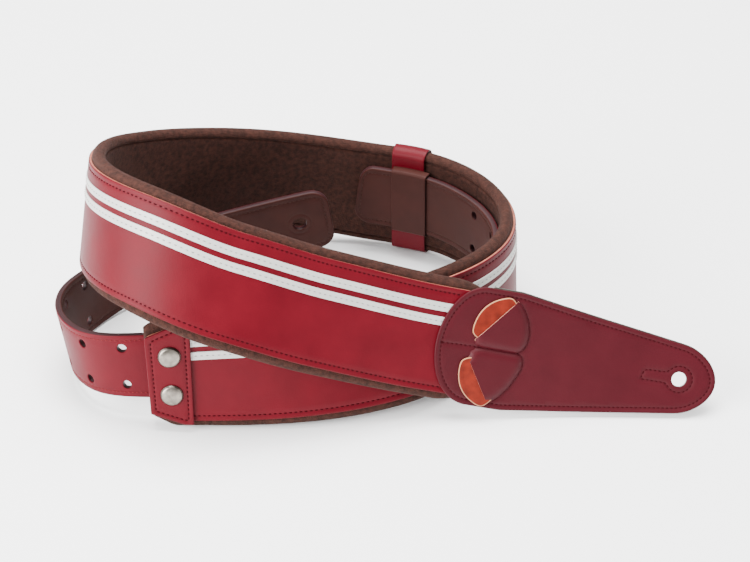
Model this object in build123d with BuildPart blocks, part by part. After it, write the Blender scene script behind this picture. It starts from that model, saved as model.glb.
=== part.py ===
"""Padded guitar strap, coiled once and standing on its long edge.

Every layer is described in strap coordinates: a distance along the strap, a height across its
width and a depth through its thickness. The stations below say how the strap lies.
"""

from build123d import *
from math import cos, radians, sin
import os

# ---------------------------------------------------------------- driving dimensions (mm)
pad_width = 66.0            # padded strap, rim to rim
pad_thickness = 8.0         # suede, foam and suede, without the leather face
leather_width = 57.0        # red face of the padded strap
leather_thickness = 1.5
cover_thickness = 1.0       # suede wrapped round the foam
layer_gap = 0.1             # left between glued or sewn layers
foam_gap = 0.15
stripe_width = 4.7
stripe_thickness = 0.4
stripe_centres = (17.5, 9.9)  # heights above the middle of the strap
tail_width = 38.0           # adjustment tail
tail_layer = 1.4            # each of the tail's two layers
tape_thickness = 0.5        # reinforcing tape between them
hole_pitch = 25.5           # along the tail
hole_spread = 22.6          # between the two holes of a pair
hole_diameter = 5.2
button_hole_diameter = 8.0
barrel_hole = 5.6           # for the stud barrels, through the padded strap
barrel_radius = 2.5
bore_radius = 2.0
screw_radius = 1.93
cap_radius = 5.9
pick_thickness = 0.9
pocket_floor = 0.5          # above the face of the tab, which curves up to it
pocket_room = 2.2           # depth of the pockets the picks sit in
pick_lift = 1.0             # height of a pick above the face of the tab

# ---------------------------------------------------------------- places along the strap (mm)
# Distances are measured from the two studs, towards the front tab.
tail_tip = -286.0
tail_end = 342.0            # far end of the tail, inside the coil
plate_start = -11.8
pad_start = -12.5
pad_end = 788.0
leather_end = 786.0
plate_end = 11.0
tab_start = 764.0
tab_tip = 917.0
tab_hole = 897.5
keeper_place = 310.0
keeper_width = 21.0

# ---------------------------------------------------------------- how the strap lies
# Each station: distance along, heading in degrees, height of the middle, outward lean in degrees.
stations = [
    (-285, 186, 41, 0), (-200, 198, 27.4, -1), (-140, 230, 19.6, 4), (-100, 267, 22, 9),
    (-60, 309, 27, 4), (-20, 357, 32, -6), (40, 363.4, 33, -15.7), (120, 384, 34, -23.2),
    (180, 410.4, 36, -8.9), (240, 468.9, 35, 0), (290, 508, 36, 0), (335, 531, 36, 0),
    (370, 546, 42, -4), (420, 564, 53, -2), (480, 586, 69.1, 0), (540, 637, 88, -9),
    (600, 686, 96.9, -30), (650, 716.7, 83.9, -31.2), (700, 727.6, 65, -26.6),
    (760, 726.5, 44, -22.3), (830, 719, 27, -23.9), (920, 714, 12, -33),
]
stud_place_x = -107.0       # middle of the strap at the studs, before the model is centred
stud_place_y = -124.1
centre_shift = (-4.24, 46.44, 0.2)  # puts the middle of the model's footprint on the origin


def between(column, along):
    """Smooth curve through one column of the stations."""
    place = [row[0] for row in stations]
    value = [row[column] for row in stations]
    last = len(place) - 1

    def slope(i):
        before, after = max(i - 1, 0), min(i + 1, last)
        return (value[after] - value[before]) / (place[after] - place[before])

    if along <= place[0]:
        return value[0] + (along - place[0]) * slope(0)
    if along >= place[last]:
        return value[last] + (along - place[last]) * slope(last)
    i = max(k for k in range(last) if place[k] <= along)
    span = place[i + 1] - place[i]
    u = (along - place[i]) / span
    start = value[i] * (2 * u**3 - 3 * u**2 + 1) + slope(i) * span * (u**3 - 2 * u**2 + u)
    end = value[i + 1] * (3 * u**2 - 2 * u**3) + slope(i + 1) * span * (u**3 - u**2)
    return start + end


def direction(along):
    """Unit vector along the strap."""
    climb = (between(2, along + 0.5) - between(2, along - 0.5))
    heading = radians(between(1, along))
    level = (1 - climb**2) ** 0.5
    return Vector(cos(heading) * level, sin(heading) * level, climb)


def walk():
    """Middle of the strap at every whole millimetre."""
    places = {0: Vector(stud_place_x, stud_place_y, 0)}
    for step in (1, -1):
        point = places[0]
        for k in range(0, 960 if step > 0 else 300):
            along = step * (k + 0.5)
            point = point + direction(along) * step
            places[step * (k + 1)] = Vector(point.X, point.Y, 0)
    return places


middle = walk()


def section(along):
    """Plane across the strap: its X runs up the width and its Y runs outward."""
    low = int(along // 1)
    part = along - low
    level = middle[low] * (1 - part) + middle[low + 1] * part
    heading, lean = radians(between(1, along)), radians(between(3, along))
    tangent = direction(along)
    up = Vector(sin(heading) * sin(lean), -cos(heading) * sin(lean), cos(lean))
    up = (up - tangent * up.dot(tangent)).normalized()
    origin = Vector(level.X, level.Y, between(2, along)) + Vector(*centre_shift)
    return Plane(origin=origin, x_dir=up, z_dir=tangent)


def spread(start, end, step=12.0):
    """Evenly spaced places from start to end."""
    count = max(1, round((end - start) / step))
    return [start + (end - start) * k / count for k in range(count + 1)]


def strip(places, low, high, inner, outer, mode=Mode.ADD):
    """Loft a flat layer; low, high, inner and outer are numbers or functions of the distance."""
    def at(limit, along):
        return limit(along) if callable(limit) else limit

    cuts = []
    for along in places:
        wide = at(high, along) - at(low, along)
        thick = at(outer, along) - at(inner, along)
        with BuildSketch(section(along)) as cut:
            with Locations((at(low, along) + wide / 2, at(inner, along) + thick / 2)):
                Rectangle(wide, thick)
        cuts.append(cut.sketch.face())
    loft(sections=cuts, ruled=True, clean=False, mode=mode)


def drill(along, height, diameter):
    """Round hole straight through the layers at one place."""
    with BuildSketch(across(along, height, -20)) as ring:
        Circle(diameter / 2)
    extrude(ring.sketch, amount=40, clean=False, mode=Mode.SUBTRACT)


def across(along, height, depth):
    """Plane facing outward at a point of the strap; its X runs along the strap."""
    cut = section(along)
    return Plane(origin=cut.from_local_coords((height, depth, 0)), x_dir=cut.z_dir, z_dir=cut.y_dir)


def save(piece, name):
    """Label a finished piece and write it as its own file."""
    piece.part.label = name
    export_step(piece.part, f"parts/{name}.step")


os.makedirs("parts", exist_ok=True)

# ---------------------------------------------------------------- depths of the layers
# Depth 0 is the middle of the padded strap; the red face looks outward, the suede inward.
back_depth = -pad_thickness / 2
front_depth = pad_thickness / 2 - 0.7
leather_back = front_depth + layer_gap
leather_front = leather_back + leather_thickness
overlay_back = leather_front + stripe_thickness + 2 * layer_gap  # plate and tab lie on the stripes
plate_front = overlay_back + 1.5
tab_front = overlay_back + 1.0
pocket_front = tab_front + pocket_floor + pocket_room + 1.0
tail_on_pad = back_depth - 0.15
tail_on_keeper = -7.2
tail_thickness = 2 * tail_layer + tape_thickness + 2 * layer_gap


def pad_half(along):
    """Half width of the padded strap; both ends have their corners cut back."""
    front_cut = 26.4 + 0.53 * (along - pad_start)
    rear_cut = 33 - 5 * (max(0, along - 770) / 18) ** 2
    return min(pad_width / 2, front_cut, rear_cut)


def plate_half(along):
    """Half height of the adjuster plate, narrower towards the tail."""
    return min(29.8, 22.8 + 0.385 * (along - plate_start))


def leather_half(along):
    """Half width of the red face."""
    return min(leather_width / 2, plate_half(along) - 0.3, pad_half(along) - 1.5)


def tab_half(along):
    """Half width of the front tab: round rear, tapered sides, round tip."""
    rear = 23 - (along - tab_start)
    rear_cut = 32.3 * (1 - (max(0, rear) / 23) ** 2) ** 0.5
    side = 32.3 - 0.15 * max(0, along - 806)
    nose = max(0, along - (tab_tip - 19)) / 19
    return max(0.8, min(rear_cut, side) * (1 - nose**2) ** 0.5)


def tail_half(along):
    """Half width of the tail, with rounded corners at both ends."""
    corner = 10.0
    reach = max(0, corner - min(along - tail_tip, tail_end - along))
    return tail_width / 2 - corner + max(0, corner**2 - reach**2) ** 0.5


def tail_middle(along):
    """Height of the tail's middle: it drifts up the pad behind the studs."""
    return 0.012 * max(0, along)


def tail_outer(along):
    """Depth of the tail's red face: against the pad, then lifted over the keeper's band."""
    u = min(1, max(0, (along - 200) / 75))
    return tail_on_pad + (tail_on_keeper - tail_on_pad) * u * u * (3 - 2 * u)


# ---------------------------------------------------------------- padded strap
pad_places = [pad_start, *spread(0, 768), 776, 784, pad_end]


def cover_cut(along):
    """Section of the suede channel: back, two rims and the two lips turned over the foam."""
    half, wall, bevel, lip = pad_half(along), cover_thickness, 1.6, 22.0
    one_side = [
        (half - bevel, back_depth), (half, back_depth + bevel), (half, front_depth - bevel),
        (half - bevel, front_depth), (lip, front_depth), (lip, front_depth - wall),
        (half - wall - bevel / 2, front_depth - wall), (half - wall, front_depth - wall - bevel / 2),
        (half - wall, back_depth + wall + bevel / 2), (half - wall - bevel / 2, back_depth + wall),
    ]
    other_side = [(-height, depth) for height, depth in reversed(one_side)]
    with BuildSketch(section(along)) as cut:
        with BuildLine():
            Polyline(*one_side, *other_side, close=True)
        make_face()
    return cut.sketch.face()


with BuildPart() as suede_cover:
    loft(sections=[cover_cut(along) for along in pad_places], ruled=True, clean=False)
    for side in (1, -1):
        drill(0, side * hole_spread / 2, barrel_hole)
save(suede_cover, "suede_cover")

with BuildPart() as foam_core:
    strip(
        pad_places,
        lambda along: 2 - pad_half(along),
        lambda along: pad_half(along) - 2,
        back_depth + cover_thickness + foam_gap,
        front_depth - cover_thickness - foam_gap,
    )
    for side in (1, -1):
        drill(0, side * hole_spread / 2, barrel_hole)
save(foam_core, "foam_core")

leather_places = [plate_start, *[place for place in pad_places if 0 <= place < 780], leather_end]
with BuildPart() as face_leather:
    strip(
        leather_places,
        lambda along: -leather_half(along),
        leather_half,
        leather_back,
        leather_front,
    )
    for side in (1, -1):
        drill(0, side * hole_spread / 2, barrel_hole)
save(face_leather, "face_leather")

for name, centre in zip(("stripe_upper", "stripe_lower"), stripe_centres):
    with BuildPart() as stripe:
        strip(
            [tab_start + 6, *[place for place in pad_places[::-1] if 10 < place < 760], plate_end - 3],
            centre - stripe_width / 2,
            centre + stripe_width / 2,
            leather_front + layer_gap,
            leather_front + layer_gap + stripe_thickness,
        )
    save(stripe, name)

# ---------------------------------------------------------------- adjuster plate and its studs
with BuildPart() as adjuster_plate:
    strip(
        [plate_start, 0, 6.5, plate_end],
        lambda along: -plate_half(along),
        plate_half,
        overlay_back,
        plate_front,
    )
    for side in (1, -1):
        drill(0, side * hole_spread / 2, barrel_hole)
save(adjuster_plate, "adjuster_plate")

for name, side in (("upper", 1), ("lower", -1)):
    seat = across(0, side * hole_spread / 2, 0)
    cap_depth = plate_front + 2 * layer_gap
    barrel_end = tail_on_pad - tail_thickness + 0.6
    with BuildPart() as stud_cap:
        with BuildSketch(across(0, side * hole_spread / 2, barrel_end)):
            Circle(barrel_radius)
        extrude(amount=cap_depth - barrel_end)
        with BuildSketch(across(0, side * hole_spread / 2, cap_depth)):
            Circle(cap_radius)
        extrude(amount=2.4)
        fillet(stud_cap.faces().sort_by(Axis(seat.origin, seat.z_dir))[-1].edges(), 2.0)
        with BuildSketch(across(0, side * hole_spread / 2, barrel_end)):
            Circle(bore_radius)
        extrude(amount=cap_depth - 2 - barrel_end, mode=Mode.SUBTRACT)
    save(stud_cap, f"stud_cap_{name}")

    head_depth = tail_on_pad - tail_thickness - 0.3
    with BuildPart() as stud_screw:
        with BuildSketch(across(0, side * hole_spread / 2, head_depth - 1.4)):
            Circle(4.6)
        extrude(amount=1.4)
        chamfer(stud_screw.faces().sort_by(Axis(seat.origin, seat.z_dir))[0].edges(), 0.4)
        with BuildSketch(across(0, side * hole_spread / 2, head_depth)):
            Circle(screw_radius)
        extrude(amount=6)
        with BuildSketch(across(0, side * hole_spread / 2, head_depth - 1.4)):
            Rectangle(9.4, 1.1)
        extrude(amount=0.8, mode=Mode.SUBTRACT)
    save(stud_screw, f"stud_screw_{name}")

# ---------------------------------------------------------------- adjustment tail
tail_places = [
    *[tail_tip + reach for reach in (0.3, 1.2, 3, 6, 10)],
    *spread(tail_tip + 20, -12, 10), *spread(0, 324, 12), tail_end - 10,
    *[tail_end - reach for reach in (6, 3, 1.2, 0.3)],
]
hole_places = [hole_pitch * k for k in range(-5, 11)]
layer_depths = {
    "tail_face": (0, tail_layer),
    "tail_tape": (tail_layer + layer_gap, tail_layer + layer_gap + tape_thickness),
    "tail_lining": (tail_thickness - tail_layer, tail_thickness),
}
for name, (near, far) in layer_depths.items():
    inset = 3.0 if name == "tail_tape" else 0.0
    with BuildPart() as layer:
        strip(
            tail_places,
            lambda along: tail_middle(along) - max(0.5, tail_half(along) - inset),
            lambda along: tail_middle(along) + max(0.5, tail_half(along) - inset),
            lambda along: tail_outer(along) - far,
            lambda along: tail_outer(along) - near,
        )
        for along in hole_places:
            for side in (1, -1):
                drill(along, tail_middle(along) + side * hole_spread / 2, hole_diameter)
        drill(tail_tip + 18.5, 0, button_hole_diameter)
    save(layer, name)

# ---------------------------------------------------------------- keeper
keeper_places = spread(keeper_place - keeper_width / 2, keeper_place + keeper_width / 2, 5.25)
loop_places = spread(keeper_place - 13, keeper_place + 10, 5.75)
band_outside, band_inside = leather_front + stripe_thickness + 2.2, back_depth - 1.2
band_half, sheet = pad_width / 2 + 1.0, 1.4


def sleeve(places, centre, half, inner, outer, corner):
    """Closed band of leather round a strap, one sheet thick."""
    for grow, mode in ((sheet, Mode.ADD), (0, Mode.SUBTRACT)):
        cuts = []
        for along in places:
            with BuildSketch(section(along)) as cut:
                with Locations((centre, (inner + outer) / 2)):
                    RectangleRounded(2 * (half + grow), outer - inner + 2 * grow, corner + grow)
            cuts.append(cut.sketch.face())
        loft(sections=cuts, ruled=True, clean=False, mode=mode)


with BuildPart() as keeper_band:
    sleeve(keeper_places, 0, band_half, band_inside, band_outside, 2.5)
save(keeper_band, "keeper_band")

loop_back = tail_on_keeper - tail_thickness - 0.5
with BuildPart() as keeper_loop:
    sleeve(loop_places, tail_middle(keeper_place), tail_width / 2 + 1.0, loop_back, -1.0, 1.2)
    strip(loop_places, -40, 40, band_inside - sheet - 0.1, 20, mode=Mode.SUBTRACT)
save(keeper_loop, "keeper_loop")

# ---------------------------------------------------------------- front tab
tab_places = [
    *[tab_start + reach for reach in (0.05, 0.7, 2.2, 5, 9, 15, 23)],
    *spread(tab_start + 34, tab_tip - 24, 12),
    *[tab_tip - reach for reach in (16, 11, 7, 3.5, 1.5, 0.4)],
]
lining_places = [pad_end + 1.2, *[place for place in tab_places if place > pad_end + 4]]

# Each pocket: ends of its slit, then the rest of its outline, all as (along, height),
# and the direction its pick leaves in, counted from the strap's own direction.
pockets = {
    "upper": ([(785.6, 2.9), (804.8, 26.7),
               (808.0, 24.2), (813.0, 14.2), (813.2, 5.7), (809.5, 0.5)], 141),
    "lower": ([(799.3, -27.8), (784.8, -6.4),
               (786.5, -1.6), (810.0, -1.3), (813.0, -7.8), (809.0, -18.0)], 214),
}


def pocket_seat(which):
    """Plane at the middle of a pocket's slit; X points the way its pick leaves."""
    (first, second, *_), turn = pockets[which]
    here = across((first[0] + second[0]) / 2, (first[1] + second[1]) / 2, tab_front)
    outlet = here.x_dir * cos(radians(turn)) + here.y_dir * sin(radians(turn))
    return Plane(origin=here.origin, x_dir=outlet, z_dir=here.z_dir)


def pick_face(seat, grow=0.0):
    """Rounded triangle whose wide end looks out of the pocket."""
    base, wide, tip = 11.7 + grow, 14 + grow, -16 - 1.3 * grow
    with BuildSketch(seat) as shape:
        with BuildLine():
            ThreePointArc((6, wide), (base, 0), (6, -wide))
            ThreePointArc((6, -wide), (-7.5, -9.6 - grow), (tip, 0))
            ThreePointArc((tip, 0), (-7.5, 9.6 + grow), (6, wide))
        make_face()
        fillet(shape.vertices().sort_by(Axis(seat.origin, seat.x_dir))[:1], 3)
        fillet(shape.vertices().sort_by(Axis(seat.origin, seat.x_dir))[-2:], 5)
    return shape.sketch


with BuildPart() as tab_face:
    strip(tab_places, lambda along: -tab_half(along), tab_half, overlay_back, tab_front)
    for which, (outline, turn) in pockets.items():
        seat = pocket_seat(which)
        corners = [
            seat.to_local_coords(section(along).from_local_coords((height, tab_front, 0)))
            for along, height in outline
        ]
        with BuildSketch(seat.offset(-0.5)) as flap:
            with BuildLine():
                Polyline(*[(corner.X, corner.Y) for corner in corners], close=True)
            make_face()
        extrude(flap.sketch, amount=pocket_front - tab_front + 0.5, clean=False)
    for which in pockets:
        seat = pocket_seat(which).offset(pocket_floor)
        extrude(pick_face(seat, 0.8), amount=pocket_room, clean=False, mode=Mode.SUBTRACT)
        with BuildSketch(seat) as mouth:
            with Locations((8, 0)):
                Rectangle(12, 30)
        extrude(mouth.sketch, amount=pocket_room, clean=False, mode=Mode.SUBTRACT)
    drill(tab_hole, 0, button_hole_diameter)
save(tab_face, "tab_face")

for name, inset, inner, outer in (
    ("tab_stiffener", 3.0, overlay_back - 0.7, overlay_back - 0.1),
    ("tab_lining", 0.0, overlay_back - 2.0, overlay_back - 0.8),
):
    with BuildPart() as layer:
        strip(
            lining_places[:-2] if inset else lining_places,
            lambda along: -max(0.6, tab_half(along) - inset),
            lambda along: max(0.6, tab_half(along) - inset),
            inner,
            outer,
        )
        drill(tab_hole, 0, button_hole_diameter)
    save(layer, name)

# ---------------------------------------------------------------- picks
for which in pockets:
    with BuildPart() as pick:
        extrude(pick_face(pocket_seat(which).offset(pick_lift)), amount=pick_thickness)
    save(pick, f"pick_{which}")
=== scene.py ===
"""Looks of a padded red leather guitar strap, coiled once and standing on its long edge.

Sizes in the strap's own coordinates are millimetres: s along it from the two studs towards the
front tab, w up its width and t outward through its thickness.
"""

from math import cos, exp, pi, radians, sin

import bmesh
import bpy
import numpy as np
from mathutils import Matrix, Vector
from mathutils.geometry import delaunay_2d_cdt


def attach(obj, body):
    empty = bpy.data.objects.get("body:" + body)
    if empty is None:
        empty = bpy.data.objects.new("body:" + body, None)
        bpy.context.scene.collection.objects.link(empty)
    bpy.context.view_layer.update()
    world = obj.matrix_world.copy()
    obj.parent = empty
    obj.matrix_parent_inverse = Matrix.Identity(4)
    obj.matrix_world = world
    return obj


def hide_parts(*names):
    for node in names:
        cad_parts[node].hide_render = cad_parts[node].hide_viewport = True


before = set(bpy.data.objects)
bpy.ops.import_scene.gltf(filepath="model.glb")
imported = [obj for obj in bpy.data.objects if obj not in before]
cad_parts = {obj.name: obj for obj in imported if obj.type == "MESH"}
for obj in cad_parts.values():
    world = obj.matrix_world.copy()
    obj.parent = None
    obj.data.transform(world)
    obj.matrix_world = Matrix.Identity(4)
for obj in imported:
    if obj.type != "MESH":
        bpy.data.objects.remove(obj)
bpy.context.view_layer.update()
rng = np.random.default_rng(7)

# ---------------------------------------------------------------- how the strap lies
# Stations: distance along, heading in degrees, height of the middle, outward lean in degrees.
STATIONS = np.array([
    (-285, 186, 41, 0), (-200, 198, 27.4, -1), (-140, 230, 19.6, 4), (-100, 267, 22, 9),
    (-60, 309, 27, 4), (-20, 357, 32, -6), (40, 363.4, 33, -15.7), (120, 384, 34, -23.2),
    (180, 410.4, 36, -8.9), (240, 468.9, 35, 0), (290, 508, 36, 0), (335, 531, 36, 0),
    (370, 546, 42, -4), (420, 564, 53, -2), (480, 586, 69.1, 0), (540, 637, 88, -9),
    (600, 686, 96.9, -30), (650, 716.7, 83.9, -31.2), (700, 727.6, 65, -26.6),
    (760, 726.5, 44, -22.3), (830, 719, 27, -23.9), (920, 714, 12, -33),
])
STUD_PLACE = (-107.0, -124.1)
SHIFT = np.array((-4.24, 46.44, 0.2))


def between(column, s):
    """Smooth curve through one column of the stations, carried on straight past its ends."""
    place, value = STATIONS[:, 0], STATIONS[:, column]
    slope = np.empty(len(place))
    slope[1:-1] = (value[2:] - value[:-2]) / (place[2:] - place[:-2])
    slope[0] = (value[1] - value[0]) / (place[1] - place[0])
    slope[-1] = (value[-1] - value[-2]) / (place[-1] - place[-2])
    s = np.asarray(s, float)
    i = np.clip(np.searchsorted(place, s, side="right") - 1, 0, len(place) - 2)
    span = place[i + 1] - place[i]
    u = np.clip((s - place[i]) / span, 0, 1)
    first = value[i] * (2 * u**3 - 3 * u**2 + 1) + slope[i] * span * (u**3 - 2 * u**2 + u)
    last = value[i + 1] * (3 * u**2 - 2 * u**3) + slope[i + 1] * span * (u**3 - u**2)
    past = np.minimum(0, s - place[0]) * slope[0] + np.maximum(0, s - place[-1]) * slope[-1]
    return first + last + past


def walk():
    """Rows of middle, up and outward vectors every half millimetre from s = -290 to 930."""
    whole = np.arange(-300, 960)
    climb = between(2, whole + 1.0) - between(2, whole + 0.0)
    heading = np.radians(between(1, whole + 0.5))
    level = np.sqrt(1 - climb**2)
    steps = np.stack([np.cos(heading) * level, np.sin(heading) * level], 1)
    plan = np.vstack([np.zeros(2), np.cumsum(steps, 0)])
    plan += np.array(STUD_PLACE) - plan[300]
    s = np.arange(-290, 930.01, 0.5)
    x = np.interp(s, np.arange(-300, 961), plan[:, 0])
    y = np.interp(s, np.arange(-300, 961), plan[:, 1])
    climb = between(2, s + 0.5) - between(2, s - 0.5)
    heading, lean = np.radians(between(1, s)), np.radians(between(3, s))
    level = np.sqrt(1 - climb**2)
    along = np.stack([np.cos(heading) * level, np.sin(heading) * level, climb], 1)
    up = np.stack([np.sin(heading) * np.sin(lean), -np.cos(heading) * np.sin(lean), np.cos(lean)], 1)
    up -= along * (along * up).sum(1)[:, None]
    up /= np.linalg.norm(up, axis=1)[:, None]
    return np.hstack([np.stack([x, y, between(2, s)], 1) + SHIFT, up, np.cross(along, up)])


ROWS = walk()


def put(s, w, t):
    """Points in metres from strap coordinates."""
    s, w, t = np.broadcast_arrays(*(np.asarray(value, float) for value in (s, w, t)))
    place = np.clip((s + 290) * 2, 0, len(ROWS) - 1.001)
    i = place.astype(int)
    part = (place - i)[..., None]
    row = ROWS[i] * (1 - part) + ROWS[i + 1] * part
    return (row[..., :3] + w[..., None] * row[..., 3:6] + t[..., None] * row[..., 6:9]) / 1000


# ---------------------------------------------------------------- sizes (mm)
PAD_START, PAD_END, PLATE_START, PLATE_END = -12.5, 788.0, -11.8, 11.0
TAIL_TIP, TAIL_END, TAB_START, TAB_TIP = -286.0, 342.0, 764.0, 917.0
TAB_HOLE, TAIL_HOLE, HOLE_PITCH, HOLE_SPREAD = 897.5, -267.5, 25.5, 22.6
FACE_BACK, FACE_FRONT = 3.4, 4.9
PLATE_FRONT, TAB_FRONT = 7.0, 6.5
STITCH_BORDER = 2.9


def pad_half(s):
    rear = 33 - 5 * (np.maximum(0, s - 770) / 18) ** 2
    return np.minimum(np.minimum(33, 26.4 + 0.53 * (s - PAD_START)), rear)


def plate_half(s):
    return np.minimum(29.8, 22.8 + 0.385 * (s - PLATE_START))


def tab_half(s):
    rear = 32.3 * np.sqrt(1 - (np.maximum(0, 23 - (s - TAB_START)) / 23) ** 2)
    side = 32.3 - 0.15 * np.maximum(0, s - 806)
    nose = np.clip((s - (TAB_TIP - 19)) / 19, 0, 1)
    return np.minimum(rear, side) * np.sqrt(1 - nose**2)


def tail_half(s):
    reach = np.clip(10 - np.minimum(s - TAIL_TIP, TAIL_END - s), 0, 10)
    return 9 + np.sqrt(100 - reach**2)


def tail_middle(s):
    return 0.012 * np.maximum(0, s)


def tail_outer(s):
    u = np.clip((s - 200) / 75, 0, 1)
    return -4.15 - 3.05 * u * u * (3 - 2 * u)


# ---------------------------------------------------------------- mesh helpers
def make(name, points, faces, materials, indices=None, sharp=45, body="strap"):
    """Mesh object from points in metres, smooth but for sharp edges, riding on its body."""
    mesh = bpy.data.meshes.new(name)
    mesh.from_pydata([tuple(point) for point in points], [], faces)
    for material in materials:
        mesh.materials.append(material)
    if indices is not None:
        mesh.polygons.foreach_set("material_index", indices)
    mesh.polygons.foreach_set("use_smooth", [True] * len(mesh.polygons))
    work = bmesh.new()
    work.from_mesh(mesh)
    bmesh.ops.recalc_face_normals(work, faces=work.faces)
    work.to_mesh(mesh)
    work.free()
    mesh.set_sharp_from_angle(angle=radians(sharp))
    obj = bpy.data.objects.new(name, mesh)
    bpy.context.collection.objects.link(obj)
    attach(obj, body)
    return obj


def resample(line, step, closed=False):
    """Evenly spaced points along a polyline."""
    line = np.array(line, float)
    if closed:
        line = np.vstack([line, line[:1]])
    length = np.concatenate([[0], np.cumsum(np.hypot(*np.diff(line, axis=0).T))])
    count = max(2, int(round(length[-1] / step)) + 1)
    where = np.linspace(0, length[-1], count)
    out = np.stack([np.interp(where, length, line[:, 0]), np.interp(where, length, line[:, 1])], 1)
    return out[:-1] if closed else out


def distance(points, line, closed=False):
    """Distance from each (s, w) point to a polyline."""
    line = np.array(line, float)
    if closed:
        line = np.vstack([line, line[:1]])
    best = np.full(len(points), 1e9)
    for a, b in zip(line[:-1], line[1:]):
        run = b - a
        u = np.clip(((points - a) @ run) / max(run @ run, 1e-12), 0, 1)
        gap = points - a - u[:, None] * run
        best = np.minimum(best, np.hypot(gap[:, 0], gap[:, 1]))
    return best


def inside(points, line):
    """Which (s, w) points lie inside a closed polyline."""
    x, y = points.T
    result = np.zeros(len(points), bool)
    for (ax, ay), (bx, by) in zip(line, np.roll(line, -1, axis=0)):
        crosses = (ay > y) != (by > y)
        result ^= crosses & (x < (bx - ax) * (y - ay) / (by - ay + 1e-12) + ax)
    return result


def shifted(line, amount):
    """Closed polyline moved inwards (it runs anticlockwise)."""
    run = np.roll(line, -1, axis=0) - np.roll(line, 1, axis=0)
    run /= np.hypot(*run.T)[:, None]
    return line + amount * np.stack([-run[:, 1], run[:, 0]], 1)


def outline_of(half, start, end, middle=lambda s: 0 * s, ends=2.5):
    """Anticlockwise outline from a half-width rule, sampled closely at both ends."""
    reach = ends * (1 - np.cos(np.linspace(0, pi / 2, 14))) * 4
    s = np.unique(np.round(np.concatenate([
        start + reach, end - reach, np.arange(start + 10, end - 10, 3.0)]), 4))
    low = np.stack([s, middle(s) - half(s)], 1)
    high = np.stack([s, middle(s) + half(s)], 1)[::-1]
    return resample(np.vstack([low, high]), 1.4, closed=True)


RINGS = (0.12, 0.35, 0.8, 1.5, 2.2, 2.6, 2.9, 3.2, 3.8)


def patch(name, outline, inner, outer, materials, holes=(), step=3.0, edge=0.45, grooves=(),
          rings=RINGS, body="strap", lift=None, side=1):
    """Leather cut to an outline, with real holes, rounded edges and pressed-in seam lines."""
    outline = np.array(outline)
    groups, links = [outline], [(i, (i + 1) % len(outline)) for i in range(len(outline))]
    count = len(outline)
    hole_rings = []
    for hs, hw, hr in holes:
        turn = np.linspace(0, 2 * pi, 25)[:-1]
        ring = np.stack([np.cos(turn), np.sin(turn)], 1)
        groups.append((hs, hw) + hr * ring)
        links += [(count + i, count + (i + 1) % 24) for i in range(24)]
        count += 24
        hole_rings += [(hs, hw) + (hr + more) * ring for more in (0.15, 0.4, 1.0)]
    groups += hole_rings
    for depth in rings:
        ring = shifted(outline, depth)
        groups.append(ring[inside(ring, outline) & (distance(ring, outline, True) > 0.93 * depth)])
    reach = max(rings) + 0.6 * step if rings else 0.7 * step
    low, high = outline.min(0), outline.max(0)
    grid = np.stack(np.meshgrid(np.arange(low[0], high[0], step), np.arange(low[1], high[1], step)), -1)
    grid = grid.reshape(-1, 2)
    grid = grid[inside(grid, outline)]
    grid = grid[distance(grid, outline, True) > reach]
    for line, width, depth in grooves:
        grid = grid[distance(grid, line) > 1.2 * width + 0.5]
        fine = resample(line, 1.3)
        run = np.gradient(fine, axis=0)
        beside = np.stack([-run[:, 1], run[:, 0]], 1) / np.hypot(*run.T)[:, None]
        for off in (-1.6, -0.8, 0, 0.8, 1.6):
            groups.append(fine + beside * off * width)
    groups.append(grid)
    flat = np.vstack(groups)
    first = len(outline) + 24 * len(holes)
    extra = flat[first:]
    keep = inside(extra, outline) & (distance(extra, outline, True) > 0.08)
    for hs, hw, hr in holes:
        keep &= np.hypot(extra[:, 0] - hs, extra[:, 1] - hw) > hr + 0.1
    flat = np.vstack([flat[:first], extra[keep]])
    verts, _, faces, *_ = delaunay_2d_cdt([Vector(p) for p in flat], links, [], 1, 1e-5)
    flat = np.array([tuple(v) for v in verts])
    centre = np.array([flat[list(face)].mean(0) for face in faces])
    good = inside(centre, outline)
    for hs, hw, hr in holes:
        good &= np.hypot(centre[:, 0] - hs, centre[:, 1] - hw) > hr * 0.98
    faces = [face for face, ok in zip(faces, good) if ok]
    gap = distance(flat, outline, True)
    for hs, hw, hr in holes:
        gap = np.minimum(gap, 1.6 * np.abs(np.hypot(flat[:, 0] - hs, flat[:, 1] - hw) - hr))
    drop = edge * (1 - np.sqrt(np.clip(1 - (1 - np.clip(gap / edge, 0, 1)) ** 2, 0, 1)))
    top = outer(*flat.T) - side * drop
    if lift is not None:
        top = top + lift(flat, gap)
    for line, width, depth in grooves:
        top = top - side * depth * np.exp(-((distance(flat, line) / width) ** 2))
    bottom = inner(*flat.T)
    size = len(flat)
    points = np.vstack([put(flat[:, 0], flat[:, 1], top), put(flat[:, 0], flat[:, 1], bottom)])
    edges = {}
    for face in faces:
        for a, b in zip(face, (*face[1:], face[0])):
            edges[(min(a, b), max(a, b))] = edges.get((min(a, b), max(a, b)), 0) + 1
    rim = [pair for pair, times in edges.items() if times == 1]
    sides = [(a, b, b + size, a + size) for a, b in rim]
    under = [tuple(index + size for index in face[::-1]) for face in faces]
    indices = [0] * len(faces) + [len(materials) - 1 if len(materials) < 3 else 2] * len(under)
    indices += [min(1, len(materials) - 1)] * len(sides)
    return make(name, points, [*faces, *under, *sides], materials, indices, body=body)


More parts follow.
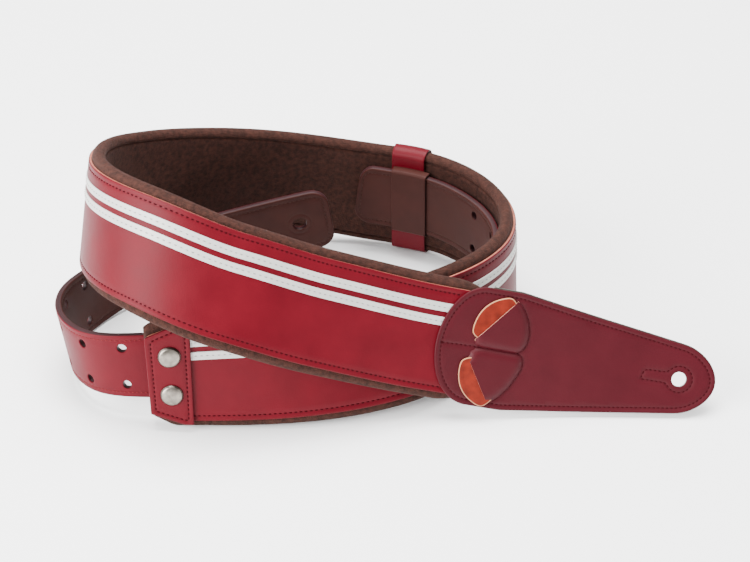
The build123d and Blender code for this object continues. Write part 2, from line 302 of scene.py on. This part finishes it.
def stitches(name, lines, height, material, pitch=2.6, length=1.75, thick=0.32, body="strap", out=1):
    """Thread stitches lying along seam lines; each sinks into the leather at both ends."""
    points, faces = [], []
    shape = (
        (-0.5, 0.35, -0.45), (-0.36, 0.85, -0.05), (0, 1, 0.12), (0.36, 0.85, -0.05), (0.5, 0.35, -0.45),
    )
    for line in lines:
        fine = resample(line, pitch)
        middles, runs = (fine[1:] + fine[:-1]) / 2, fine[1:] - fine[:-1]
        for (s, w), run in zip(middles, runs / np.hypot(*runs.T)[:, None]):
            run = run + rng.normal(0, 0.03, 2)
            start = len(points)
            t = float(height(np.array([s]), np.array([w]))[0])
            for place, size, rise in shape:
                for k in range(6):
                    across, above = sin(k * pi / 3) * thick * size, cos(k * pi / 3) * thick * size * 0.8
                    points.append((
                        s + run[0] * place * length - run[1] * across,
                        w + run[1] * place * length + run[0] * across,
                        t + out * (above + rise),
                    ))
            for ring in range(4):
                for k in range(6):
                    a, b = start + ring * 6 + k, start + ring * 6 + (k + 1) % 6
                    faces.append((a, b, b + 6, a + 6))
            faces += [tuple(start + k for k in range(6)), tuple(start + 24 + k for k in range(6))]
    points = np.array(points)
    return make(name, put(*points.T), faces, [material], sharp=80, body=body)


def flat_at(level):
    return lambda s, w: np.full(np.shape(s), float(level))


def sweep(name, places, profile, material, body="strap", sharp=60):
    """Closed section carried along the strap; profile gives its (w, t) points."""
    rows = [np.array(profile(s)) for s in places]
    count = len(rows[0])
    points = np.vstack([put(s, row[:, 0], row[:, 1]) for s, row in zip(places, rows)])
    faces = []
    for i in range(len(rows) - 1):
        for k in range(count):
            a, b = i * count + k, i * count + (k + 1) % count
            faces.append((a, b, b + count, a + count))
    last = (len(rows) - 1) * count
    faces += [tuple(range(count)), tuple(last + k for k in range(count))]
    return make(name, points, faces, [material], body=body, sharp=sharp)


# ---------------------------------------------------------------- materials
def surface(name, colour, rough, metallic=0.0, coat=0.0, sheen=0.0, grain=(), mottle=0.0,
            mottle_scale=60.0, specular=0.5):
    """Principled material with mottled colour, uneven gloss and layers of fine relief."""
    material = bpy.data.materials.new(name)
    material.use_nodes = True
    nodes, links = material.node_tree.nodes, material.node_tree.links
    shader = nodes["Principled BSDF"]
    for socket, value in (
        ("Base Color", (*colour, 1)), ("Roughness", rough), ("Metallic", metallic),
        ("Coat Weight", coat), ("Coat Roughness", 0.25), ("Sheen Weight", sheen),
        ("Sheen Roughness", 0.4), ("Specular IOR Level", specular),
    ):
        shader.inputs[socket].default_value = value
    if sheen:
        shader.inputs["Sheen Tint"].default_value = (*[min(1, 4.5 * c + 0.1) for c in colour], 1)
    place = nodes.new("ShaderNodeTexCoord").outputs["Object"]
    cloud = nodes.new("ShaderNodeTexNoise")
    cloud.inputs["Scale"].default_value = mottle_scale
    cloud.inputs["Detail"].default_value = 5
    links.new(place, cloud.inputs["Vector"])
    if mottle:
        ramp = nodes.new("ShaderNodeValToRGB")
        ramp.color_ramp.elements[0].position = 0.3
        ramp.color_ramp.elements[1].position = 0.7
        ramp.color_ramp.elements[0].color = (*[c * (1 - mottle) for c in colour], 1)
        ramp.color_ramp.elements[1].color = (*[min(1, c * (1 + mottle)) for c in colour], 1)
        links.new(cloud.outputs["Fac"], ramp.inputs["Fac"])
        links.new(ramp.outputs["Color"], shader.inputs["Base Color"])
    gloss = nodes.new("ShaderNodeMapRange")
    gloss.inputs["To Min"].default_value = max(0.05, rough - 0.07)
    gloss.inputs["To Max"].default_value = min(1, rough + 0.07)
    links.new(cloud.outputs["Fac"], gloss.inputs["Value"])
    links.new(gloss.outputs["Result"], shader.inputs["Roughness"])
    last = None
    for kind, scale, strength, depth in grain:
        texture = nodes.new(kind)
        texture.inputs["Scale"].default_value = scale
        links.new(place, texture.inputs["Vector"])
        bump = nodes.new("ShaderNodeBump")
        bump.inputs["Strength"].default_value = strength
        bump.inputs["Distance"].default_value = depth
        links.new(texture.outputs[0], bump.inputs["Height"])
        if last:
            links.new(last, bump.inputs["Normal"])
        last = bump.outputs["Normal"]
    if last:
        links.new(last, shader.inputs["Normal"])
    return material


NOISE, CELLS = "ShaderNodeTexNoise", "ShaderNodeTexVoronoi"
LEATHER = ((NOISE, 45, 0.25, 0.0012), (CELLS, 1500, 0.10, 0.0002), (NOISE, 700, 0.10, 0.0003))
FINE, THREAD = LEATHER[2:], ((NOISE, 2500, 0.5, 0.0002),)
red = surface("red_leather", (0.077, 0.0005, 0.0046), 0.47, specular=0.12, grain=LEATHER, mottle=0.10)
# The tab and its pocket flaps get a darker, greyer copy of the red leather: painted shade for the leaning
# tab.
shaded_tab_red = surface("tab_leather", (0.039, 0.0009, 0.0038), 0.50, specular=0.15, grain=LEATHER, mottle=0.08)
red_edge = surface("leather_edge", (0.034, 0.0015, 0.003), 0.55, specular=0.15, grain=FINE, mottle=0.2)
raw_edge = surface("raw_edge", (0.26, 0.07, 0.04), 0.7, grain=FINE, mottle=0.3,
                   mottle_scale=400)
purple_edge = surface("tail_edge", (0.020, 0.0055, 0.0065), 0.5, specular=0.2, grain=FINE, mottle=0.15)
grey_edge = surface("tab_edge", (0.045, 0.048, 0.038), 0.6, specular=0.2, grain=FINE, mottle=0.2)
loop_edge = surface("loop_edge", (0.012, 0.004, 0.004), 0.6, specular=0.1, grain=FINE, mottle=0.2)
pale_edge = surface("slit_edge", (0.42, 0.20, 0.14), 0.7, specular=0.1, grain=FINE, mottle=0.2)
brown = surface("brown_lining", (0.030, 0.0082, 0.0062), 0.55, specular=0.08, grain=LEATHER, mottle=0.12)
suede = surface("suede", (0.030, 0.0108, 0.0076), 0.95, sheen=0.10, mottle=0.42, mottle_scale=420,
                grain=((NOISE, 160, 0.5, 0.0008), (NOISE, 1500, 0.9, 0.0007)), specular=0.15)
silver = surface("silver_stripe", (0.44, 0.43, 0.41), 0.45, metallic=0.1, specular=0.3,
                 grain=LEATHER[1:], mottle=0.04)
nickel = surface("nickel", (0.200, 0.178, 0.152), 0.32, metallic=1.0, mottle=0.34, mottle_scale=330,
                 grain=((NOISE, 300, 0.12, 0.0003),))
dark_thread = surface("dark_thread", (0.026, 0.0004, 0.0020), 0.8, specular=0.06, grain=THREAD)
red_thread = surface("red_thread", (0.115, 0.008, 0.010), 0.75, specular=0.15, grain=THREAD)
pale_thread = surface("pale_thread", (0.20, 0.20, 0.19), 0.7, specular=0.2, grain=THREAD)
brown_thread = surface("brown_thread", (0.036, 0.014, 0.011), 0.75, specular=0.1, grain=THREAD)
pick_red = surface("pick_face", (0.118, 0.0075, 0.0016), 0.38, specular=0.2, mottle=0.35, mottle_scale=170)
pick_cream = surface("pick_border", (0.36, 0.17, 0.09), 0.4, specular=0.2, mottle=0.05)

# ---------------------------------------------------------------- padded strap


def padding(s):
    """Section of the suede padding, with round rims and a seam line behind each rim."""
    half, near = float(pad_half(s)), min(s - PAD_START, PAD_END - s)
    puff = 0.05 + 0.95 * (1 - (max(0, 2.6 - near) / 2.6) ** 2) ** 0.5
    front = [(w, 3.3) for w in np.linspace(3.65 - half, half - 3.65, 10)]
    turns = np.linspace(pi / 2, -pi / 2, 13)[1:]
    rim = [(half - 3.65 + 3.65 * cos(a), -0.35 + 3.65 * sin(a)) for a in turns]
    back = [half - 3.65 - step for step in (0.4, 0.7, 1.0, 1.3, 1.6, 2.0, 2.6, 3.4)]
    back += list(np.linspace(half - 10, 0, 4))
    back = back + [-w for w in back[-2::-1]]
    seam = [(w, -4 + 0.95 * exp(-(((half - 4.65 - abs(w)) / 0.55) ** 2))) for w in back]
    other = [(-w, t) for w, t in rim[::-1]]
    return [(w * (0.985 + 0.015 * puff), -0.35 + (t + 0.35) * puff) for w, t in front + rim + seam + other]


ends = 2.6 * (1 - np.cos(np.linspace(0, pi / 2, 7)))
pad_places = np.concatenate([PAD_START + ends, np.arange(-9, 784, 2.5), (PAD_END - ends)[::-1]])
pad = sweep("suede_padding", pad_places, padding, suede)
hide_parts("suede_cover", "foam_core")

face_line = np.array([
    (PLATE_START + 1, -22.6), (6.4, -28.4), (TAB_START + 20, -28.4), (TAB_START + 20, 28.4),
    (6.4, 28.4), (PLATE_START + 1, 22.6),
])
face_seams = [[(10, side * 25.4), (772, side * 25.4)] for side in (1, -1)]
face = patch("red_face", resample(face_line, 1.6, True), flat_at(FACE_BACK), flat_at(FACE_FRONT),
             [red, raw_edge, brown], grooves=[(line, 0.7, 0.32) for line in face_seams],
             rings=(0.15, 0.4, 0.9), step=3.2)
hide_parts("face_leather")
stitches("face_stitches", face_seams, flat_at(FACE_FRONT - 0.2), dark_thread)

for name, centre in (("stripe_upper", 17.5), ("stripe_lower", 9.9)):
    low, high = centre - 2.35, centre + 2.35
    line = np.array([(8, low), (770, low), (770, high), (8, high)])
    groove = ([(9, centre), (769, centre)], 0.4, 0.12)
    stripe = patch(f"{name}_band", resample(line, 1.6, True), flat_at(4.8), flat_at(5.38), [silver],
                   grooves=[groove], rings=(0.12, 0.35, 0.8), step=2.5, edge=0.3)
    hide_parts(name)
    stitches(f"{name}_stitches", [[(12, centre), (766, centre)]], flat_at(5.28), pale_thread,
                     pitch=3.0, length=1.7, thick=0.24)

# ---------------------------------------------------------------- adjuster plate
plate_line = np.array([(PLATE_START, -22.8), (6.4, -29.8), (PLATE_END, -29.8), (PLATE_END, 29.8),
                       (6.4, 29.8), (PLATE_START, 22.8)])
plate_line = resample(plate_line, 1.0, True)
plate_seam = resample([(-9.0, -20.9), (6.9, -27.0), (8.3, -27.0), (8.3, 27.0), (6.9, 27.0), (-9.0, 20.9),
                       (-9.0, -20.9)], 1.5)
plate = patch("plate_leather", plate_line, flat_at(5.45), flat_at(PLATE_FRONT), [red, red_edge],
              grooves=[(plate_seam, 0.6, 0.4)], rings=(0.12, 0.35, 0.8, 1.4), step=2.2, edge=0.6)
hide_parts("adjuster_plate")
stitches("plate_stitches", [plate_seam], flat_at(PLATE_FRONT - 0.22), dark_thread)


def turned(name, s, w, profile, material, body="strap", count=48):
    """Round piece from (radius, depth) points, standing on the face at one place."""
    middle, along = put(s, w, 0) * 1000, put(s + 0.5, w, 0) - put(s - 0.5, w, 0)
    along /= np.linalg.norm(along)
    up = put(s, w + 1, 0) - put(s, w, 0)
    out = put(s, w, 1) - put(s, w, 0)
    up, out = up / np.linalg.norm(up), out / np.linalg.norm(out)
    points, faces = [], []
    for radius, depth in profile:
        for k in range(count):
            turn = 2 * pi * k / count
            points.append((middle + radius * (along * cos(turn) + up * sin(turn)) + depth * out) / 1000)
    for i in range(len(profile) - 1):
        for k in range(count):
            a, b = i * count + k, i * count + (k + 1) % count
            faces.append((a, b, b + count, a + count))
    last = (len(profile) - 1) * count
    faces += [tuple(range(count)), tuple(last + k for k in range(count))]
    return make(name, points, faces, [material], body=body)


dome = [(2.4, -6.9), (2.4, 7.05), (5.2, 7.0), (5.85, 7.1), (6.0, 7.4), (5.9, 7.7), (5.5, 8.05)]
dome += [(5.5 * cos(a), 8.05 + 1.35 * sin(a)) for a in np.linspace(0.15, pi / 2 - 0.05, 9)]
for name, side in (("upper", 1), ("lower", -1)):
    cap = turned(f"cap_{name}", 0, side * HOLE_SPREAD / 2, dome, nickel)
    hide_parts(f"stud_cap_{name}")
    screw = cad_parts[f"stud_screw_{name}"]
    screw.data.materials.clear()
    screw.data.materials.append(nickel)

# ---------------------------------------------------------------- adjustment tail
tail_line = outline_of(tail_half, TAIL_TIP, TAIL_END, tail_middle)
tail_seam = outline_of(lambda s: tail_half(s) - STITCH_BORDER, TAIL_TIP + 3, TAIL_END - 3,
                       tail_middle)
tail_seam = np.vstack([tail_seam, tail_seam[:1]])
holes = [(k * HOLE_PITCH, float(tail_middle(k * HOLE_PITCH)) + side * HOLE_SPREAD / 2, 2.55)
         for k in range(-5, 11) for side in (1, -1)] + [(TAIL_HOLE, 0, 4.0)]
hole_ring = [(TAIL_HOLE + 6.8 * cos(a), 6.8 * sin(a)) for a in np.linspace(0, 2 * pi, 30)]
pressed = [(tail_seam, 0.6, 0.25), (hole_ring, 0.5, 0.22)]


def tail_sheet(depth):
    """Surface of the tail at a depth below its red face."""
    return lambda s, w: tail_outer(s) - depth


layers = (
    ("tail_leather", 0.0, 1.65, [red, purple_edge, brown], 1, red_thread, "tail_face"),
    ("tail_backing", 3.5, 1.70, [brown, purple_edge], -1, brown_thread, "tail_lining"),
)
for name, near, far, materials, side, thread, node in layers:
    sheet = patch(name, tail_line, tail_sheet(far), tail_sheet(near), materials, holes=holes,
                  grooves=pressed, rings=(0.12, 0.35, 0.8, 1.5), step=2.6, side=side)
    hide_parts(node)
    threads = stitches(f"{name}_stitches", [tail_seam], tail_sheet(near + 0.16 * side), thread,
                       thick=0.3, out=side)
    if side < 0:
        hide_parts("tail_tape")

# ---------------------------------------------------------------- keeper


def ring_points(half, low, high, corner, grow, centre=0.0, steps=7):
    """Rounded rectangle round the strap's section, from the middle of its inner side."""
    points = []
    for cw, ct, turn in ((half, low, -90), (half, high, 0), (-half, high, 90), (-half, low, 180)):
        for a in np.radians(np.linspace(turn, turn + 90, steps)):
            points.append((
                centre + cw - corner * np.sign(cw) + (corner + grow) * cos(a),
                ct + corner * (1 if ct == low else -1) + (corner + grow) * sin(a),
            ))
    return np.array(points)


def band(name, start, end, shape, thick, materials, closed=True):
    """Leather strip bent round the strap; its two long edges are rounded."""
    edge = [(0.0, 0.12), (0.0, thick - 0.45), (0.12, thick - 0.15), (0.45, thick)]
    wide = end - start
    crown = [(a, thick + 0.12 * sin(pi * a / wide)) for a in np.linspace(1.5, wide - 1.5, 7)]
    cut = edge + crown + [(wide - a, b) for a, b in edge[::-1]]
    cut += [(wide - a, 0.0) for a in np.linspace(0.4, wide - 0.4, 6)]
    rows = [shape(grow) for _, grow in cut]
    count = len(rows[0])
    points = np.vstack([put(start + a, row[:, 0], row[:, 1]) for (a, _), row in zip(cut, rows)])
    faces, indices = [], []
    for i in range(len(cut)):
        j = (i + 1) % len(cut)
        for k in range(count if closed else count - 1):
            m = (k + 1) % count
            faces.append((i * count + k, i * count + m, j * count + m, j * count + k))
            indices.append(int(i in (0, 1, 12, 13)))
    if not closed:
        faces += [tuple(i * count + tip for i in range(len(cut))) for tip in (0, count - 1)]
        indices += [1, 1]
    return make(name, points, faces, materials, indices, body="keeper")


# Rim and front corner of the band: middle, size both ways, first and last angle, points.
STRIP_CORNERS = ((29.35, -0.35, 4.15, 4.9, -1.57, 0.85, 18), (26.6, 4.7, 1.5, 1.5, 0.95, 1.57, 6))


def strip_shape(grow):
    """Closed band that hugs the round rims of the padding and the front leather."""
    right = []
    for w, t, across, deep, first, last, count in STRIP_CORNERS:
        for a in np.linspace(first, last, count):
            right.append((w + (across + grow) * cos(a), t + (deep + grow) * sin(a)))
    return np.array(right + [(-w, t) for w, t in right[::-1]])


strip_ring = band("keeper_strip", 299.5, 320.5, strip_shape, 0.9, [red, red_edge])
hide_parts("keeper_band")


LOOP_MIDDLE, LOOP_HALF = 3.72, 19.8


def loop_shape(grow):
    """Three sides of the loop that holds the tail down on the band."""
    ring = ring_points(LOOP_HALF, -11.4, -2.0, 1.1, grow, centre=LOOP_MIDDLE)
    lower, upper = ring[:7], ring[21:]
    first, last = [(LOOP_MIDDLE + side * (LOOP_HALF + grow), -6.6) for side in (1, -1)]
    return np.vstack([[first], lower[::-1], upper[::-1], [last]])


loop = band("keeper_tail_loop", 295.5, 319.0, loop_shape, 0.75, [brown, loop_edge], closed=False)
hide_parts("keeper_loop")

# ---------------------------------------------------------------- front tab
tab_line = outline_of(tab_half, TAB_START + 0.05, TAB_TIP - 0.05, ends=5.5)
tab_seam = shifted(tab_line, STITCH_BORDER)
tab_seam = tab_seam[(distance(tab_seam, tab_line, True) > 0.97 * STITCH_BORDER)]
tab_seam = np.vstack([tab_seam, tab_seam[:1]])
middle_seam = [(766.6, -1.0), (777, -0.4), (789.6, -0.1), (800, -0.2), (808.5, -0.3)]
upper_seam = [(808.5, -0.3), (811.5, 1.8), (813.4, 5.6), (813.6, 11.5), (811.8, 17.2), (809.0, 22.2),
              (806.0, 25.9)]
lower_seam = [(808.5, -0.3), (811.4, -1.0), (812.9, -3.4), (813.2, -8), (811.4, -12.8), (808.4, -19.2),
              (804.2, -25.0), (800.5, -28.4)]
turn = np.linspace(-2.72, 2.72, 20)
key_seam = [(877.0, -2.9), (890.6, -2.9)] + [(TAB_HOLE + 7.2 * cos(a), 7.2 * sin(a)) for a in turn]
key_seam += [(890.6, 2.9), (878.4, 2.6), (877.0, -2.9)]
seams = [tab_seam, resample(middle_seam, 1.5), resample(upper_seam, 1.5), resample(lower_seam, 1.5),
         resample(key_seam, 1.2)]
tab = patch("tab_leather", tab_line, flat_at(5.4), flat_at(TAB_FRONT), [shaded_tab_red, red_edge],
            holes=[(TAB_HOLE, 0, 4.0)], grooves=[(line, 0.65, 0.35) for line in seams], edge=0.55,
            rings=(0.12, 0.35, 0.8, 1.4), step=2.6)
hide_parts("tab_face")
stitches("tab_stitches", seams, flat_at(TAB_FRONT - 0.22), dark_thread, pitch=2.4, length=1.6,
                 thick=0.27)

PROUD = 0.2                 # the lining shows this far twice over above the tab's upper edge
back_line = outline_of(lambda s: tab_half(s) + PROUD, PAD_END + 1.2, TAB_TIP - 0.05,
                       lambda s: PROUD + 0 * s, ends=2.5)
lining = patch("tab_backing", back_line, flat_at(5.3), flat_at(3.5), [brown, grey_edge],
               holes=[(TAB_HOLE, 0, 4.0)], rings=(0.12, 0.35, 0.8), step=3.0, side=-1)
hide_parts("tab_lining", "tab_stiffener")
back_seam = [point for point in tab_seam if point[0] > PAD_END + 4]
stitches("tab_backing_stitches", [back_seam], flat_at(3.55), dark_thread, out=-1)

# Each pocket: its outline with the slit between the last and first points, the middle of its slit
# in CAD, and the direction its pick leaves in.
POCKETS = {
    "upper": ([(803.4, 27.8), *upper_seam[::-1], *middle_seam[3:1:-1], (785.8, 0.6), (784.4, 3.8)],
              (795.2, 14.8), 141),
    "lower": ([(783.3, -7.3), (783.6, -3.2), (786.0, -0.8), *middle_seam[2:4], *lower_seam, (797.9, -28.7)],
              (792.05, -17.1), 214),
}
FLAP_RISE, FLAP_EASE = 1.9, 1.5


def bezier(a, b, c, count=14):
    u = np.linspace(0, 1, count)[:-1, None]
    return np.array(a) * (1 - u) ** 2 + 2 * np.array(b) * u * (1 - u) + np.array(c) * u**2


# The pick's outline counts from the middle of the slit, x the way it leaves the pocket.
pick_line = np.vstack([
    bezier((5.4, 14.6), (-8.3, 13.2), (-15.6, 0)),
    bezier((-15.6, 0), (-8.3, -13.2), (5.4, -14.6)),
    bezier((5.4, -14.6), (17.8, 0), (5.4, 14.6)),
])
pick_line = resample(pick_line, 0.6, True)
for _ in range(20):
    pick_line = (np.roll(pick_line, 1, axis=0) + pick_line * 2 + np.roll(pick_line, -1, axis=0)) / 4

PICK_LAYERS = (("body", 0.0, 0.35, 1.1, pick_cream), ("print", 0.42, 1.0, 1.14, pick_red))
for which, (seam, mid, heading) in POCKETS.items():
    seam = np.array(seam)
    border = resample(seam, 0.9, True)
    if inside(shifted(border, 0.5), border).mean() < 0.5:
        border = border[::-1]

    def raised(s, w, seam=seam):
        """Height of a pocket above the tab: full at the slit, down to nothing at its seam."""
        gap = distance(np.stack([s, w], -1), seam) / FLAP_EASE
        return TAB_FRONT + 0.05 + FLAP_RISE * (1 - np.exp(-(gap**1.3)))

    def underside(s, w, raised=raised):
        return np.maximum(raised(s, w) - 0.8, TAB_FRONT + 0.02)

    flap = patch(f"pocket_{which}", border, underside, raised, [shaded_tab_red, pale_edge],
                 rings=(0.12, 0.35, 0.8, 1.4), step=1.5, edge=0.3)
    slit = put(seam[[0, -1], 0], seam[[0, -1], 1], TAB_FRONT + 1)
    along = (slit[1] - slit[0]) / np.linalg.norm(slit[1] - slit[0])
    for polygon in flap.data.polygons:
        reach = np.array(polygon.center) - slit[0]
        off = reach - along * (reach @ along)
        if polygon.material_index == 1 and np.linalg.norm(off) > 0.0014:
            polygon.material_index = 0
    c, d = cos(radians(heading)), sin(radians(heading))
    turned_by = np.array([(c, d), (-d, c)])
    for part, inset, low, high, material in PICK_LAYERS:
        shape = np.array(mid) + shifted(pick_line, inset) @ turned_by
        piece = patch(f"pick_{which}_{part}", resample(shape, 0.6, True), flat_at(TAB_FRONT + low),
                      flat_at(TAB_FRONT + high), [material], rings=(0.12, 0.35, 0.8), step=2.2,
                      edge=0.25 if part == "body" else 0.06, body=f"pick_{which}_body")
        if part == "body":
            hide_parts(f"pick_{which}")

# ---------------------------------------------------------------- floor, light and camera
bpy.ops.mesh.primitive_plane_add(size=8)
floor = bpy.context.active_object
floor.name = "floor"
floor.data.materials.append(surface("floor", (0.94, 0.94, 0.94), 0.9, mottle=0.0, specular=0.1))

world = bpy.data.worlds.new("studio")
bpy.context.scene.world = world
world.use_nodes = True
world.node_tree.nodes["Background"].inputs["Color"].default_value = (1, 1, 1, 1)
world.node_tree.nodes["Background"].inputs["Strength"].default_value = 0.9


def lamp(name, place, target, size, power):
    """Soft square light aimed at a point."""
    light = bpy.data.lights.new(name, "AREA")
    light.shape, light.size, light.energy = "SQUARE", size, power
    obj = bpy.data.objects.new(name, light)
    bpy.context.collection.objects.link(obj)
    obj.location = place
    obj.rotation_euler = (Vector(target) - Vector(place)).to_track_quat("-Z", "Y").to_euler()


lamp("key", (-1.25, -0.80, 0.62), (-0.08, 0, 0.05), 1.25, 92)
lamp("top", (0.0, 0.3, 1.7), (0, 0, 0), 1.3, 118)
lamp("right", (1.5, -0.5, 0.7), (0, 0, 0.05), 0.8, 6)

tilt, reach = radians(36.04), 1.375
camera = bpy.data.cameras.new("camera")
camera.sensor_width, camera.lens = 36.0, 114.9
view = bpy.data.objects.new("camera", camera)
bpy.context.collection.objects.link(view)
view.location = Vector((0, -reach * cos(tilt), reach * sin(tilt))) + Vector(SHIFT / 1000)
view.rotation_euler = (pi / 2 - tilt, 0, 0)
bpy.context.scene.camera = view
